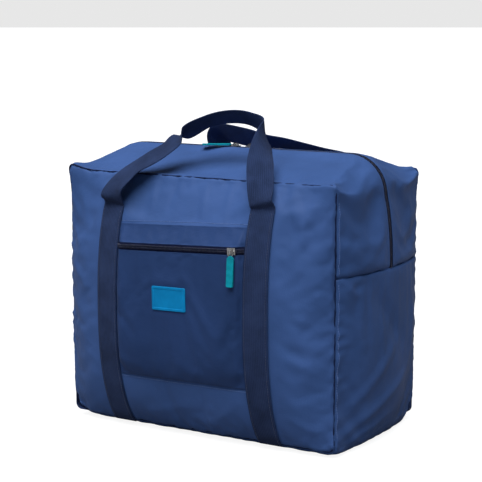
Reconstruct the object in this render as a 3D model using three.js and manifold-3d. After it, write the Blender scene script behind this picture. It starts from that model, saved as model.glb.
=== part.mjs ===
// Foldable tote bag of thin nylon, stuffed full: a box of soft panels with a two-way top zip, a zipped
// front pocket and two webbing handles. Millimetres, +Z up, the bag's front faces -Y.
// The origin is the centre of the flat base, on the surface that the bag stands on.
import * as THREE from 'three';
import Module from 'manifold-3d';
import { mergeVertices } from 'three/addons/utils/BufferGeometryUtils.js';

const manifold = await Module();
manifold.setup();

// ---- Driving dimensions -------------------------------------------------------------------------
const BAG_WIDTH = 460; // between the side seams
const BAG_DEPTH = 255; // between the front and back seams
const SEAM_HEIGHT = 380; // bottom seam to top seam
const BASE_DROP = 8; // the base sags this far below the bottom seam
const SEAM_RADIUS = 12; // corners of the front and back panels
const FRONT_BULGE = 50;
const SIDE_BULGE = 22;
const RIDGE_RISE = 32; // the zip's ridge above the top seam
const RIDGE_RADIUS = 58; // where the zip turns down onto the sides
const BASE_RADIUS = 26; // where the base turns up into the sides, halfway back
const SIDE_SEAM_Z = 258; // seam between the lower gusset and the two top gussets
const FABRIC = 1.6; // thickness that stands for nylon with its coating and seam allowance
const GAP = 0.3; // clearance between pieces that touch
const BINDING_WIDTH = 10;
const BINDING_THICKNESS = 1.2;

const WEBBING_WIDTH = 38;
const WEBBING = 2; // thickness
const STRAP_X = 128; // strap centre lines
const HANDLE_GAP = 3; // between a sewn strap and the free handle that goes on from it
const STRAP_TOP_Z = 348; // where the webbing leaves the bag and becomes the handle
const SKEW = 0.045; // the stuffed front hangs askew: what is sewn on it rises this much to the right

const POCKET_BOTTOM_Z = 93;
const POCKET_TOP_Z = 321;
const POCKET_ZIP_Z = 289;
const POCKET_DEPTH = 6.5; // room between the pocket and the front panel
const LABEL = { x: -10, z: 216, width: 57, height: 35, thickness: 1.5, radius: 2 };

const ZIP = { slit: 5.5, tape: 14, tapeThickness: 0.8, coil: 3.2, coilHeight: 2, proud: 0.4 };
const TOP_SLIDER_X = 13; // each top slider's place beside the middle of the zip
const POCKET_SLIDER_X = 93;
const SLIDER = { length: 13, width: 9.8, plate: 1.2, lift: 0.4, flange: 1.2, drop: 1.9 };
const CROWN = { half: 4.4, post: 1.2, width: 2.4, top: 5.2, bar: 1 };
const LINK = { bar: 1.4, opening: 4.5, width: 8.4, thickness: 1.2, height: 2.9 };
const TAB = { length: 44, width: 13, thickness: 2, radius: 2.5, neck: 4, neckLength: 4, clear: 2.2 };
const TOP_TAB_YAW = 32; // degrees: both top tabs lie askew, towards the front of the bag

// ---- Values worked out from them ----------------------------------------------------------------
const HALF_WIDTH = BAG_WIDTH / 2;
const HALF_DEPTH = BAG_DEPTH / 2;
const SEAM_LOW = BASE_DROP;
const SEAM_TOP = BASE_DROP + SEAM_HEIGHT;
const MIDDLE_Z = (SEAM_LOW + SEAM_TOP) / 2;
const RIDGE_TOP = SEAM_TOP + RIDGE_RISE;
const STRAP_IN = STRAP_X - WEBBING_WIDTH / 2;
const STRAP_OUT = STRAP_X + WEBBING_WIDTH / 2;
const POCKET_HALF = STRAP_IN - GAP;
const SKEW_Z = 300; // the skew is greatest here, and fades to the seams
const PANEL_FRONT = HALF_DEPTH + GAP; // distance of the front and back panels' inner faces at the seams

// Grid lines that the front panel and the layers on it share, so that their facets run parallel.
const PANEL_X = [
  0, 27, 55, 82, POCKET_HALF, STRAP_X, STRAP_OUT, 172, 196, HALF_WIDTH - SEAM_RADIUS, HALF_WIDTH,
];
const PANEL_Z = [
  SEAM_LOW, 13, SEAM_LOW + SEAM_RADIUS, 31, 46, 66, POCKET_BOTTOM_Z, 107, 122, 148, 178, 203, 230, 256,
  POCKET_ZIP_Z - ZIP.tape, POCKET_ZIP_Z - ZIP.slit, POCKET_ZIP_Z, POCKET_ZIP_Z + ZIP.slit,
  POCKET_ZIP_Z + ZIP.tape, POCKET_TOP_Z, 334, STRAP_TOP_Z, 362, SEAM_TOP - SEAM_RADIUS, 383, SEAM_TOP,
];
const POCKET_X = [0, 27, 55, 82, 100, 104, POCKET_HALF];

// ---- Colours -------------------------------------------------------------------------------------
function paint(color, roughness, metalness = 0) {
  return new THREE.MeshStandardMaterial({ color, roughness, metalness });
}
const NYLON = paint('#33518c', 0.55);
const WEBBING_NAVY = paint('#27334f', 0.85);
const TAPE_NAVY = paint('#161c33', 0.9);
const BINDING_NAVY = paint('#1f2a48', 0.85);
const COIL_NAVY = paint('#10162b', 0.5);
const NICKEL = paint('#c9ccd1', 0.28, 1);
const TEAL = paint('#0b6b96', 0.6);

// ---- Shared helpers ------------------------------------------------------------------------------
const bag = new THREE.Group();
const vec = (x, y, z) => new THREE.Vector3(x, y, z);
const lerp = THREE.MathUtils.lerp;
const mirrored = (lines) => [...lines.slice(1).reverse().map((value) => -value), ...lines];
const swell = (share, power, fullness) => Math.max(0, 1 - Math.abs(share) ** power) ** fullness;
const between = (lines, low, high) => lines.filter((value) => value >= low - 1e-6 && value <= high + 1e-6);
const easeIn = (distance, length) => THREE.MathUtils.smoothstep(distance, 0, length);

function add(name, geometry, material, parent = bag) {
  const mesh = new THREE.Mesh(geometry, material);
  mesh.name = name;
  parent.add(mesh);
  return mesh;
}

// A closed solid between two grids of points: its outer face and its inner face.
function shell(outer, inner) {
  const rows = outer.length;
  const cols = outer[0].length;
  const back = rows * cols;
  const index = [];
  const quad = (a, b, c, d) => index.push(a, b, c, a, c, d);
  for (let i = 0; i + 1 < rows; i += 1) {
    for (let j = 0; j + 1 < cols; j += 1) {
      const a = i * cols + j;
      quad(a, a + 1, a + cols + 1, a + cols);
      quad(back + a, back + a + cols, back + a + cols + 1, back + a + 1);
    }
  }
  const wall = (a, b) => quad(b, a, back + a, back + b);
  for (let j = 0; j + 1 < cols; j += 1) {
    wall(j, j + 1);
    wall((rows - 1) * cols + j + 1, (rows - 1) * cols + j);
  }
  for (let i = 0; i + 1 < rows; i += 1) {
    wall((i + 1) * cols, i * cols);
    wall(i * cols + cols - 1, (i + 1) * cols + cols - 1);
  }
  const points = [...outer.flat(), ...inner.flat()];
  let volume = 0;
  for (let k = 0; k < index.length; k += 3) {
    const [a, b, c] = [points[index[k]], points[index[k + 1]], points[index[k + 2]]];
    volume += a.dot(b.clone().cross(c));
  }
  if (volume < 0) index.reverse();
  const geometry = new THREE.BufferGeometry().setFromPoints(points);
  geometry.setIndex(index);
  geometry.computeVertexNormals();
  return geometry;
}

// A shell over rows and columns, whose point at (row, column, depth) comes from place().
function sheet(rows, cols, place, outerDepth, innerDepth) {
  const face = (depth) => rows.map((row) => cols.map((col) => place(row, col, depth)));
  return shell(face(outerDepth), face(innerDepth));
}

function roundedRectangle(width, height, radius, path = new THREE.Shape(), x = -width / 2, y = -height / 2) {
  path.moveTo(x + radius, y);
  path.lineTo(x + width - radius, y);
  path.absarc(x + width - radius, y + radius, radius, -Math.PI / 2, 0);
  path.lineTo(x + width, y + height - radius);
  path.absarc(x + width - radius, y + height - radius, radius, 0, Math.PI / 2);
  path.lineTo(x + radius, y + height);
  path.absarc(x + radius, y + height - radius, radius, Math.PI / 2, Math.PI);
  path.lineTo(x, y + radius);
  path.absarc(x + radius, y + radius, radius, Math.PI, 1.5 * Math.PI);
  return path;
}

const extrude = (shape, depth, curveSegments = 4) =>
  new THREE.ExtrudeGeometry(shape, { depth, bevelEnabled: false, curveSegments });

// Joins closed meshes that touch or overlap into one solid.
function join(geometries) {
  const solids = geometries.map((geometry) => {
    const bare = geometry.index ? geometry.toNonIndexed() : geometry.clone();
    bare.deleteAttribute('normal');
    bare.deleteAttribute('uv');
    const merged = mergeVertices(bare, 1e-4);
    const mesh = new manifold.Mesh({
      numProp: 3,
      vertProperties: new Float32Array(merged.attributes.position.array),
      triVerts: new Uint32Array(merged.index.array),
    });
    return new manifold.Manifold(mesh);
  });
  const whole = solids.reduce((sum, solid) => sum.add(solid)).getMesh();
  const geometry = new THREE.BufferGeometry();
  geometry.setAttribute('position', new THREE.BufferAttribute(whole.vertProperties, 3));
  geometry.setIndex(new THREE.BufferAttribute(whole.triVerts, 1));
  geometry.computeVertexNormals();
  return geometry;
}

// ---- Front and back panels -----------------------------------------------------------------------
const panelBulge = (x, z) =>
  FRONT_BULGE * swell(x / HALF_WIDTH, 4, 0.9) * swell((z - MIDDLE_Z) / (SEAM_HEIGHT / 2), 2.5, 0.8);

// How much higher a point on the front sits because the front hangs askew.
function skewed(x, z) {
  const below = (z - SEAM_LOW) / (SKEW_Z - SEAM_LOW);
  const above = 1 - ((z - SKEW_Z) / (SEAM_TOP - SKEW_Z)) ** 4;
  const share = z < SKEW_Z ? below : above;
  return SKEW * x * share;
}

// The panel's corner points move in onto the seam's rounded corner.
const CORNER_PULL = SEAM_RADIUS * (1 - Math.SQRT1_2);

// A point this far out from the inner face of the front panel, or of the back panel if side is 1.
function onPanel(x, z, out, side = -1) {
  const corner = Math.abs(x) === HALF_WIDTH && (z === SEAM_LOW || z === SEAM_TOP);
  const pull = corner ? CORNER_PULL : 0;
  const y = side * (PANEL_FRONT + panelBulge(x, z) + out);
  const rise = side < 0 ? skewed(x, z) : 0;
  return vec(x - Math.sign(x) * pull, y, z + rise + (z < MIDDLE_Z ? pull : -pull));
}

for (const [name, side] of [['front_panel', -1], ['back_panel', 1]]) {
  add(name, sheet(PANEL_Z, mirrored(PANEL_X), (z, x, out) => onPanel(x, z, out, side), FABRIC, 0), NYLON);
}

// ---- Gussets ---------------------------------------------------------------------------------------
const sideBulge = (z) => SIDE_BULGE * swell((z - MIDDLE_Z) / (SEAM_HEIGHT / 2), 3.5, 0.75);

// A station is one line across the gusset: its end on the seams, its middle on the ridge, and the
// direction out of the bag. Stations run from the right side seam to the left one.
function stations(top) {
  const radius = top ? RIDGE_RADIUS : BASE_RADIUS;
  const up = top ? 1 : -1;
  const seamEnd = top ? SEAM_TOP : SEAM_LOW;
  const ridgeEnd = top ? RIDGE_TOP : 0;
  const seamCorner = seamEnd - up * SEAM_RADIUS;
  const ridgeCorner = ridgeEnd - up * radius;
  const ridgeSide = HALF_WIDTH + sideBulge(ridgeCorner);
  const list = [];
  const sideSteps = top ? 4 : 7;
  for (let i = 0; i < sideSteps; i += 1) {
    const ridgeZ = lerp(SIDE_SEAM_Z, ridgeCorner, i / sideSteps);
    const seamZ = lerp(SIDE_SEAM_Z, seamCorner, i / sideSteps);
    list.push({
      seam: [HALF_WIDTH, seamZ],
      ridge: [HALF_WIDTH + sideBulge(ridgeZ), ridgeZ],
      out: [1, 0],
      flat: 0,
    });
  }
  const cornerSteps = 5;
  for (let i = 0; i <= cornerSteps; i += 1) {
    const angle = ((Math.PI / 2) * i) / cornerSteps;
    const [c, s] = [Math.cos(angle), up * Math.sin(angle)];
    list.push({
      seam: [HALF_WIDTH - SEAM_RADIUS + SEAM_RADIUS * c, seamCorner + SEAM_RADIUS * s],
      ridge: [ridgeSide - radius + radius * c, ridgeCorner + radius * s],
      out: [c, s],
      flat: i / cornerSteps,
    });
  }
  for (const share of [0.66, 0.33]) {
    const seam = [share * (HALF_WIDTH - SEAM_RADIUS), seamEnd];
    list.push({ seam, ridge: [share * (ridgeSide - radius), ridgeEnd], out: [0, up], flat: 1 });
  }
  const flip = ([x, z]) => [-x, z];
  const left = list.map((s) => ({ seam: flip(s.seam), ridge: flip(s.ridge), out: flip(s.out), flat: s.flat }));
  return [...list, { seam: [0, seamEnd], ridge: [0, ridgeEnd], out: [0, up], flat: 1 }, ...left.reverse()];
}

const FLAT_BASE = 106; // half the depth of the base that lies flat
const crownShare = (y) => swell(y / HALF_DEPTH, 2, 1);
const baseShare = (y) => 1 - (Math.max(0, Math.abs(y) - FLAT_BASE) / (HALF_DEPTH - FLAT_BASE)) ** 2;

function onGusset(station, y, inset, top) {
  const share = top ? crownShare(y) : lerp(crownShare(y), baseShare(y), station.flat);
  const [x, z] = [0, 1].map((k) => lerp(station.seam[k], station.ridge[k], share) - inset * station.out[k]);
  return vec(x, y, z);
}

const topStations = stations(true);
const lowerStations = stations(false);
const STRIP_Y = [ZIP.slit, ZIP.tape, 40, 68, 94, 114, HALF_DEPTH];
const BASE_Y = [0, 35, 72, FLAT_BASE, 114, 122, HALF_DEPTH];

for (const [name, side] of [['top_gusset_front', -1], ['top_gusset_rear', 1]]) {
  const place = (station, y, inset) => onGusset(station, side * y, inset, true);
  add(name, sheet(topStations, STRIP_Y, place, 0, FABRIC), NYLON);
}
// The lower gusset stops short of the two top gussets at the side seams.
const lowerPlace = (station, y, inset) => {
  const point = onGusset(station, y, inset, false);
  return station.seam[1] === SIDE_SEAM_Z ? point.setZ(SIDE_SEAM_Z - GAP) : point;
};
add('lower_gusset', sheet(lowerStations, mirrored(BASE_Y), lowerPlace, 0, FABRIC), NYLON);

// Tape that binds the raw seam edges inside the bag, front and back.
const bindings = [
  ['seam_binding_front', -HALF_DEPTH + GAP],
  ['seam_binding_rear', HALF_DEPTH - GAP - BINDING_WIDTH],
];
for (const [name, y] of bindings) {
  const outside = FABRIC + 2 * GAP;
  const ring = (inset, path) => roundedRectangle(
    BAG_WIDTH - 2 * inset, SEAM_HEIGHT - 2 * inset, SEAM_RADIUS - inset, path,
  );
  const shape = ring(outside, new THREE.Shape());
  shape.holes.push(ring(outside + BINDING_THICKNESS, new THREE.Path()));
  const mesh = add(name, extrude(shape, BINDING_WIDTH), BINDING_NAVY);
  mesh.rotation.x = Math.PI / 2;
  mesh.position.set(0, y + BINDING_WIDTH, MIDDLE_Z);
}

// ---- Top zip -----------------------------------------------------------------------------------------
const tapeTop = FABRIC + GAP; // the tape lies under the gusset edges
for (const [end, side] of [['front', -1], ['rear', 1]]) {
  const place = (station, y, inset) => onGusset(station, side * y, inset, true);
  const tapeY = [GAP / 2, ZIP.slit, ZIP.tape];
  add(`top_zip_tape_${end}`, sheet(topStations, tapeY, place, tapeTop, tapeTop + ZIP.tapeThickness), TAPE_NAVY);
  const coilY = [GAP / 2, ZIP.coil];
  const coilFoot = ZIP.coilHeight - ZIP.proud;
  add(`top_zip_coil_${end}`, sheet(topStations, coilY, place, -ZIP.proud, coilFoot), COIL_NAVY);
}

// ---- Sewn webbing straps -----------------------------------------------------------------------------
const strapZ = between(PANEL_Z, SEAM_LOW, STRAP_TOP_Z);
for (const [face, side] of [['front', -1], ['rear', 1]]) {
  for (const [hand, sign] of [['left', -1], ['right', 1]]) {
    const strapX = [STRAP_IN, STRAP_X, STRAP_OUT];
    const place = (z, x, out) => onPanel(sign * x, z, out, side);
    const under = FABRIC + GAP;
    add(`strap_${face}_${hand}`, sheet(strapZ, strapX, place, under + WEBBING, under), WEBBING_NAVY);
  }
}

// ---- Front pocket --------------------------------------------------------------------------------------
// How far the pocket's inner face stands off the front panel. Across its width the pocket is level, so that
// the zip runs straight, and it comes down to the panel under the straps, at its bottom and at its top seam.
function pocketLift(x, z) {
  const level = panelBulge(0, z) - panelBulge(x, z);
  const sides = easeIn(POCKET_HALF - Math.abs(x), 8);
  const ends = Math.min(easeIn(z - POCKET_BOTTOM_Z, 28), easeIn(POCKET_TOP_Z - z, 26));
  return GAP + (POCKET_DEPTH + level - GAP) * sides * ends;
}

const onPocket = (x, z, out) => onPanel(x, z, FABRIC + pocketLift(x, z) + out);
const pocketX = mirrored(POCKET_X);
const POCKET_FABRIC = 1.2;
const pocketPlace = (z, x, out) => onPocket(x, z, out);
const belowZip = between(PANEL_Z, POCKET_BOTTOM_Z, POCKET_ZIP_Z - ZIP.slit);
const aboveZip = between(PANEL_Z, POCKET_ZIP_Z + ZIP.slit, POCKET_TOP_Z);
add('pocket_panel', sheet(belowZip, pocketX, pocketPlace, POCKET_FABRIC, 0), NYLON);
add('pocket_top_band', sheet(aboveZip, pocketX, pocketPlace, POCKET_FABRIC, 0), NYLON);

// The zip's own lines run straight up and down from its middle, on the level of the pocket there. Where it
// dips under the straps it stays clear of the front panel, which swells out below it.
const SKEW_AT_ZIP = skewed(1, POCKET_ZIP_Z);
const zipLevel = (x) => onPocket(x, POCKET_ZIP_Z, 0).y;
for (const [end, sign] of [['lower', -1], ['upper', 1]]) {
  const place = (x, z, depth) => {
    const clear = onPanel(x, POCKET_ZIP_Z - ZIP.slit, FABRIC + GAP + ZIP.tapeThickness).y;
    return vec(x, Math.min(zipLevel(x), clear) + depth, POCKET_ZIP_Z + SKEW_AT_ZIP * x + sign * z);
  };
  const tapeZ = [GAP / 2, ZIP.slit - GAP];
  const tape = sheet(pocketX, tapeZ, place, 0, ZIP.tapeThickness);
  add(`pocket_zip_tape_${end}`, tape, TAPE_NAVY);
  const coil = sheet(pocketX, [GAP / 2, ZIP.coil], place, -GAP - ZIP.coilHeight, -GAP);
  add(`pocket_zip_coil_${end}`, coil, COIL_NAVY);
}

const label = add(
  'label_patch',
  extrude(roundedRectangle(LABEL.width, LABEL.height, LABEL.radius), LABEL.thickness),
  TEAL,
);
label.rotation.set(Math.PI / 2, 0, SKEW_AT_ZIP / 2);
label.position.set(LABEL.x, onPocket(0, MIDDLE_Z, POCKET_FABRIC + GAP).y, LABEL.z);

// ---- Sliders -------------------------------------------------------------------------------------------
// Local frame: X along the zip, +Z out of the fabric, origin on top of the coil.
const block = (width, depth, height, x, y, z) => new THREE.BoxGeometry(width, depth, height).translate(x, y, z);

function sliderBody(acrossZip) {
  const plateTop = SLIDER.lift + SLIDER.plate;
  const flangeY = (SLIDER.width - SLIDER.flange) / 2;
  const flangeHeight = plateTop + SLIDER.drop;
  const crown = extrude(crownOutline(plateTop), CROWN.width);
  crown.translate(0, 0, -CROWN.width / 2);
  crown.rotateX(Math.PI / 2);
  if (acrossZip) crown.rotateZ(Math.PI / 2);
  return join([
    block(SLIDER.length, SLIDER.width, SLIDER.plate, 0, 0, SLIDER.lift + SLIDER.plate / 2),
    block(SLIDER.length - 3, SLIDER.flange, flangeHeight, 0, flangeY, plateTop - flangeHeight / 2),
    block(SLIDER.length - 3, SLIDER.flange, flangeHeight, 0, -flangeY, plateTop - flangeHeight / 2),
    crown,
  ]);
}

// The crown is an arch with a window under it, through which the link's bar passes.
function crownOutline(foot) {
  const shape = new THREE.Shape();
  shape.moveTo(-CROWN.half, foot - 0.2);
  shape.lineTo(-CROWN.half, CROWN.top - CROWN.bar);
  shape.lineTo(-CROWN.half + CROWN.bar, CROWN.top);
  shape.lineTo(CROWN.half - CROWN.bar, CROWN.top);
  shape.lineTo(CROWN.half, CROWN.top - CROWN.bar);
  shape.lineTo(CROWN.half, foot - 0.2);
  shape.lineTo(CROWN.half - CROWN.post, foot - 0.2);
  shape.lineTo(CROWN.half - CROWN.post, CROWN.top - CROWN.bar);
  shape.lineTo(CROWN.post - CROWN.half, CROWN.top - CROWN.bar);
  shape.lineTo(CROWN.post - CROWN.half, foot - 0.2);
  return shape;
}

// A flat ring that lies along +X from the crown, whose near bar is in the crown's window.
const LINK_LENGTH = 2 * LINK.bar + LINK.opening;
function linkRing() {
  const shape = roundedRectangle(LINK_LENGTH, LINK.width, 1.2, new THREE.Shape(), -LINK.bar / 2);
  const side = (LINK.width - 5.2) / 2;
  const hole = roundedRectangle(LINK.opening, 5.2, 0.5, new THREE.Path(), LINK.bar / 2, side - LINK.width / 2);
  shape.holes.push(hole);
  return extrude(shape, LINK.thickness, 2).translate(0, 0, -LINK.thickness / 2);
}

// A flat tab along +X that narrows to a neck at the link.
function pullTab() {
  const shape = new THREE.Shape();
  const half = TAB.width / 2;
  const bend = TAB.length - TAB.radius;
  shape.moveTo(0, -TAB.neck / 2);
  shape.lineTo(TAB.neckLength, -half);
  shape.lineTo(bend, -half);
  shape.absarc(bend, TAB.radius - half, TAB.radius, -Math.PI / 2, 0);
  shape.absarc(bend, half - TAB.radius, TAB.radius, 0, Math.PI / 2);
  shape.lineTo(TAB.neckLength, half);
  shape.lineTo(0, TAB.neck / 2);
  return extrude(shape, TAB.thickness).translate(0, 0, -TAB.thickness / 2);
}

function addSlider(name, place, turn, pullTurn, tabYaw, acrossZip) {
  const frame = new THREE.Group();
  frame.position.copy(place);
  frame.rotation.set(...turn);
  bag.add(frame);
  add(`${name}_slider`, sliderBody(acrossZip), NICKEL, frame);
  const pull = new THREE.Group();
  pull.position.z = LINK.height;
  pull.rotation.set(...pullTurn);
  frame.add(pull);
  add(`${name}_pull_link`, linkRing(), NICKEL, pull);
  const hang = new THREE.Group();
  hang.position.x = LINK_LENGTH - LINK.bar;
  hang.rotation.z = tabYaw;
  pull.add(hang);
  add(`${name}_pull_tab`, pullTab(), TEAL, hang).position.x = TAB.clear;
}

const sliderZ = RIDGE_TOP + ZIP.proud;
const askew = THREE.MathUtils.degToRad(TOP_TAB_YAW);
addSlider('top_left', vec(-TOP_SLIDER_X, 0, sliderZ), [0, 0, 0], [0, 0, Math.PI], askew, false);
addSlider('top_right', vec(TOP_SLIDER_X, 0, sliderZ), [0, 0, 0], [0, 0, 0], -askew, false);
// The pocket's pull hangs down the pocket, which swells out below the zip.
const POCKET_PULL_TILT = THREE.MathUtils.degToRad(7);
const coilFace = zipLevel(0) - GAP - ZIP.coilHeight;
addSlider(
  'pocket',
  vec(POCKET_SLIDER_X, coilFace, POCKET_ZIP_Z + SKEW_AT_ZIP * POCKET_SLIDER_X),
  [Math.PI / 2, 0, Math.atan(SKEW_AT_ZIP)],
  [0, -POCKET_PULL_TILT, -Math.PI / 2, 'ZYX'],
  0,
  true,
);

// ---- Handles ---------------------------------------------------------------------------------------------
// A flat band along a smooth curve. Each station gives a point and the way the band's outer face looks there.
function band(route, steps) {
  const path = new THREE.CatmullRomCurve3(route.map((r) => vec(...r.at)), false, 'centripetal');
  const faces = new THREE.CatmullRomCurve3(route.map((r) => vec(...r.face).normalize()), false, 'centripetal');
  const outer = [];
  const inner = [];
  for (let i = 0; i <= steps; i += 1) {
    const t = i / steps;
    const centre = path.getPoint(t);
    const along = path.getTangent(t);
    const face = faces.getPoint(t);
    const across = along.clone().cross(face).normalize();
    face.crossVectors(across, along).normalize();
    const edge = (side, lift) => centre.clone()
      .addScaledVector(across, (side * WEBBING_WIDTH) / 2)
      .addScaledVector(face, lift);
    outer.push([edge(-1, WEBBING / 2), edge(1, WEBBING / 2)]);
    inner.push([edge(-1, -WEBBING / 2), edge(1, -WEBBING / 2)]);
  }
  return shell(outer, inner);
}

// Handle ends: the middle of the webbing where it leaves the bag.
function strapEnd(sign, side) {
  const end = onPanel(sign * STRAP_X, STRAP_TOP_Z, FABRIC + GAP + WEBBING / 2, side);
  return [end.x, end.y, end.z + HANDLE_GAP];
}
const FRONT_HANDLE = [
  { at: strapEnd(-1, -1), face: [-0.08, -1, 0.35] },
  { at: [-128, -153, 363], face: [-0.1, -1, 0.45] },
  { at: [-120, -142, 387], face: [-0.3, -0.8, 0.7] },
  { at: [-97, -122, 405], face: [-0.4, -0.5, 0.8] },
  { at: [-73, -104, 421], face: [-0.6, 0.1, 0.8] },
  { at: [-46, -90, 440], face: [-0.7, 0.3, 0.7] },
  { at: [-22, -80, 456], face: [-0.5, 0.5, 0.7] },
  { at: [1, -74, 466], face: [-0.3, 0.6, 0.8] },
  { at: [25, -72, 470], face: [0, 0.6, 0.8] },
  { at: [51, -75, 468], face: [0.3, 0.6, 0.7] },
  { at: [77, -84, 461], face: [0.6, 0.6, 0.5] },
  { at: [93, -97, 449], face: [0.8, 0.5, 0.4] },
  { at: [101, -111, 434], face: [0.9, 0.1, 0.3] },
  { at: [108, -128, 413], face: [0.7, -0.5, 0.4] },
  { at: [118, -143, 388], face: [0.3, -0.9, 0.4] },
  { at: [125, -151, 373], face: [0.12, -1, 0.3] },
  { at: strapEnd(1, -1), face: [0.08, -1, 0.3] },
];
const REAR_HANDLE = [
  { at: strapEnd(-1, 1), face: [-0.08, 1, 0.35] },
  { at: [-129, 154, 368], face: [-0.1, 1, 0.3] },
  { at: [-134, 151, 390], face: [-0.6, 0.8, 0.3] },
  { at: [-134, 146, 411], face: [-0.95, 0, 0.3] },
  { at: [-130, 139, 426], face: [-0.8, -0.4, 0.5] },
  { at: [-116, 130, 432], face: [-0.3, -0.6, 0.7] },
  { at: [-88, 118, 429], face: [0, -0.6, 0.75] },
  { at: [-54, 108, 427], face: [0, -0.55, 0.8] },
  { at: [-11, 100, 426], face: [0, -0.45, 0.9] },
  { at: [30, 97, 422], face: [0, -0.4, 0.9] },
  { at: [72, 101, 415], face: [0.1, -0.1, 0.95] },
  { at: [102, 120, 410], face: [0.3, 0.3, 0.9] },
  { at: [126, 152, 368], face: [0.02, 1, 0.35] },
  { at: [122, 147, 391], face: [0.1, 0.9, 0.5] },
  { at: strapEnd(1, 1), face: [0.08, 1, 0.35] },
];
add('handle_front', band(FRONT_HANDLE, 44), WEBBING_NAVY);
add('handle_rear', band(REAR_HANDLE, 44), WEBBING_NAVY);

export default bag;
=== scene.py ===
# Looks of the foldable tote bag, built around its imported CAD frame. Metres, +Z up, the front faces -Y.
import math

import bmesh
import bpy
import numpy as np
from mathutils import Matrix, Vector, noise
from mathutils.bvhtree import BVHTree


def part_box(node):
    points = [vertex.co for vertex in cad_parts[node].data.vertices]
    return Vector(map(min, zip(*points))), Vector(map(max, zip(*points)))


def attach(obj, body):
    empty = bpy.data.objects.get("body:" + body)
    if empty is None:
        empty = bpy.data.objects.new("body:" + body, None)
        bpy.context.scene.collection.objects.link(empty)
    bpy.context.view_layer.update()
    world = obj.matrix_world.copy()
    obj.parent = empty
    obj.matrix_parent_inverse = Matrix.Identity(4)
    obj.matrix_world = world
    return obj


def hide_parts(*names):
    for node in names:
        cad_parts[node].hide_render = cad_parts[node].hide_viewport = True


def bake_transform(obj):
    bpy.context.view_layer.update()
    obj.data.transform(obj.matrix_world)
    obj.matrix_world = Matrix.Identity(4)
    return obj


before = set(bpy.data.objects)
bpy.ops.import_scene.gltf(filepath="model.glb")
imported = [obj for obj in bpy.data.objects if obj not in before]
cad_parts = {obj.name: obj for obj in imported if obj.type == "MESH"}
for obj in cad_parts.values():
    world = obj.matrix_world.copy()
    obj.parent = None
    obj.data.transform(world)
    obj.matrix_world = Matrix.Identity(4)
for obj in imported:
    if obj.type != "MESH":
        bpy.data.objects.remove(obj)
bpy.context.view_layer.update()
MM = 0.001

# ---- Measures, from the frame ---------------------------------------------------------------------
panel_low, panel_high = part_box("front_panel")
gusset_low, gusset_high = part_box("top_gusset_front")
lower_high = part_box("lower_gusset")[1]
strap_low, strap_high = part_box("strap_rear_right")
pocket_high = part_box("pocket_panel")[1]
label_low, label_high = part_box("label_patch")

HALF_WIDTH = panel_high.x
HALF_DEPTH = -gusset_low.y
PANEL_INNER = -panel_high.y
SEAM_LOW = panel_low.z
SEAM_TOP = panel_high.z
MIDDLE_Z = (SEAM_LOW + SEAM_TOP) / 2
HALF_SEAM = (SEAM_TOP - SEAM_LOW) / 2
SEAM_RADIUS = 12 * MM
FABRIC = 1.6 * MM
FRONT_BULGE = -panel_low.y - PANEL_INNER - FABRIC
SIDE_BULGE = lower_high.x - HALF_WIDTH
RIDGE_TOP = SEAM_TOP + 32 * MM
RIDGE_RADIUS = 58 * MM
BASE_RADIUS = 26 * MM
FLAT_BASE = 106 * MM
SIDE_SEAM_Z = gusset_low.z
ZIP_SLIT = -gusset_high.y
ZIP_TAPE = -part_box("top_zip_tape_front")[0].y
STRAP_IN = strap_low.x
STRAP_OUT = strap_high.x
STRAP_X = (STRAP_IN + STRAP_OUT) / 2
STRAP_TOP_Z = strap_high.z
WEBBING = 2 * MM
WEBBING_WIDTH = STRAP_OUT - STRAP_IN
SKEW = 0.045
SKEW_Z = 300 * MM
POCKET_HALF = pocket_high.x
POCKET_BOTTOM = 93 * MM
POCKET_TOP = 321 * MM
POCKET_ZIP = 289 * MM
POCKET_DEPTH = 6.5 * MM
CLEARANCE = 0.3 * MM


# ---- The bag's surfaces -----------------------------------------------------------------------------
def swell(share, power, fullness):
    """A rounded rise, 1 in the middle and 0 where share is -1 or 1."""
    return np.maximum(0, 1 - np.abs(share) ** power) ** fullness


def ease(distance, length):
    t = np.clip(distance / length, 0, 1)
    return t * t * (3 - 2 * t)


def panel_bulge(x, z):
    return FRONT_BULGE * swell(x / HALF_WIDTH, 4, 0.9) * swell((z - MIDDLE_Z) / HALF_SEAM, 2.5, 0.8)


def skewed(x, z):
    """How much higher a point on the front sits because the front hangs askew."""
    low = (z - SEAM_LOW) / (SKEW_Z - SEAM_LOW)
    high = 1 - (np.maximum(z - SKEW_Z, 0) / (SEAM_TOP - SKEW_Z)) ** 4
    return SKEW * x * np.where(z < SKEW_Z, low, high)


def on_panel(x, z, out, side=-1):
    """Points this far out from the inner face of the front panel, or of the back one if side is 1."""
    x, z, out = np.broadcast_arrays(*(np.asarray(value, float) for value in (x, z, out)))
    y = side * (PANEL_INNER + panel_bulge(x, z) + out)
    rise = skewed(x, z) if side < 0 else 0
    return np.stack([x, y, z + rise], -1)


def pocket_lift(x, z):
    """How far the pocket stands off the panel: its front stays level where the panel bulges."""
    level = panel_bulge(0, z) - panel_bulge(x, z)
    sides = ease(POCKET_HALF - np.abs(x), 8 * MM)
    ends = np.minimum(ease(z - POCKET_BOTTOM, 28 * MM), ease(POCKET_TOP - z, 26 * MM))
    return CLEARANCE + (POCKET_DEPTH + level - CLEARANCE) * sides * ends


def side_bulge(z):
    return SIDE_BULGE * swell((z - MIDDLE_Z) / HALF_SEAM, 3.5, 0.75)


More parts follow.
